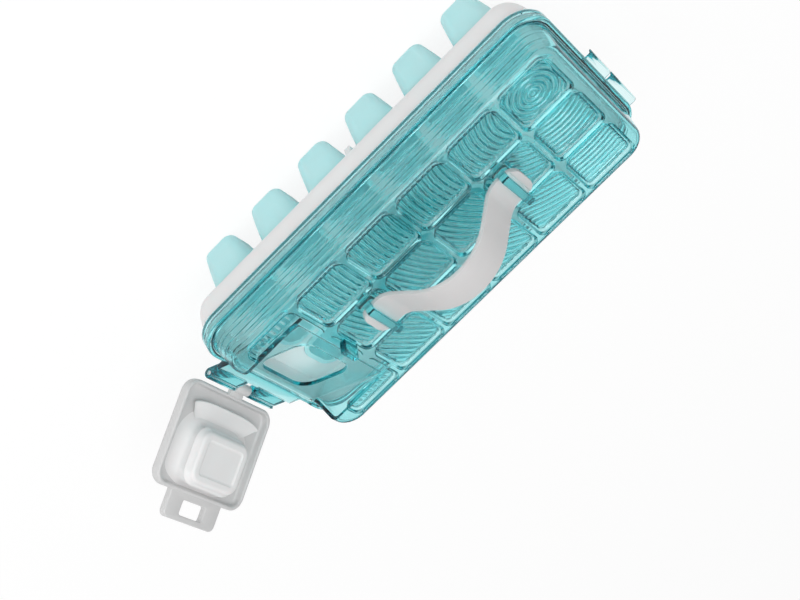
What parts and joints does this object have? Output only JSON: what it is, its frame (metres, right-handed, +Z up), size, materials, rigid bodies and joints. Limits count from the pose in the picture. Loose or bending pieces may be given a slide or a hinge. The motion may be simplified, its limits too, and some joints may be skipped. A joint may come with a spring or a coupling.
{
  "type": "ice cube tray",
  "caption": "Lidded ice cube tray: soft push-out cups in a white frame, under a clear teal bin cover with a carrying strap and a hinged pour hatch that latches with a loop.",
  "frame": {"origin": "on the standing plane, under the middle of the cover's rim", "axes": "+Z up out of the cover's face, +X along the tray towards the finger tabs, -X end has the pour hatch"},
  "size_m": [0.3519, 0.134, 0.1106],
  "materials": {
    "white_plastic": "moulded polypropylene, satin",
    "seal_silicone": "soft silicone, pale aqua",
    "clear_teal": "clear teal copolyester, polished",
    "strap_silicone": "matt white silicone",
    "hatch_white": "moulded white plastic, satin",
    "plug_silicone": "soft white silicone",
    "pin_steel": "drawn stainless wire",
    "cup_silicone": "matt translucent silicone, pale aqua"
  },
  "bodies": {
    "tray": {"tray_frame": "white_plastic", "rim_seal": "seal_silicone", "cup_1_1": "cup_silicone", "cup_1_2": "cup_silicone", "cup_1_3": "cup_silicone", "cup_1_4": "cup_silicone", "cup_1_5": "cup_silicone", "cup_1_6": "cup_silicone", "cup_2_1": "cup_silicone", "cup_2_2": "cup_silicone", "cup_2_3": "cup_silicone", "cup_2_4": "cup_silicone", "cup_2_5": "cup_silicone", "cup_2_6": "cup_silicone", "cup_3_1": "cup_silicone", "cup_3_2": "cup_silicone", "cup_3_3": "cup_silicone", "cup_3_4": "cup_silicone", "cup_3_5": "cup_silicone", "cup_3_6": "cup_silicone"},
    "cover": {"bin_cover": "clear_teal", "carry_strap": "strap_silicone", "hinge_pin": "pin_steel"},
    "hatch": {"hatch_door": "hatch_white", "hatch_plug": "plug_silicone"}
  },
  "joints": [
    {"name": "cover_lift", "type": "slide", "parent": "tray", "child": "cover", "axis": [0, 0, 1], "range_m": [0, 0.08]},
    {"name": "hatch_hinge", "type": "hinge", "parent": "cover", "child": "hatch", "pos_m": [-0.144, 0, 0.0495], "axis": [0, -1, 0], "range_deg": [-121, 60]}
  ]
}
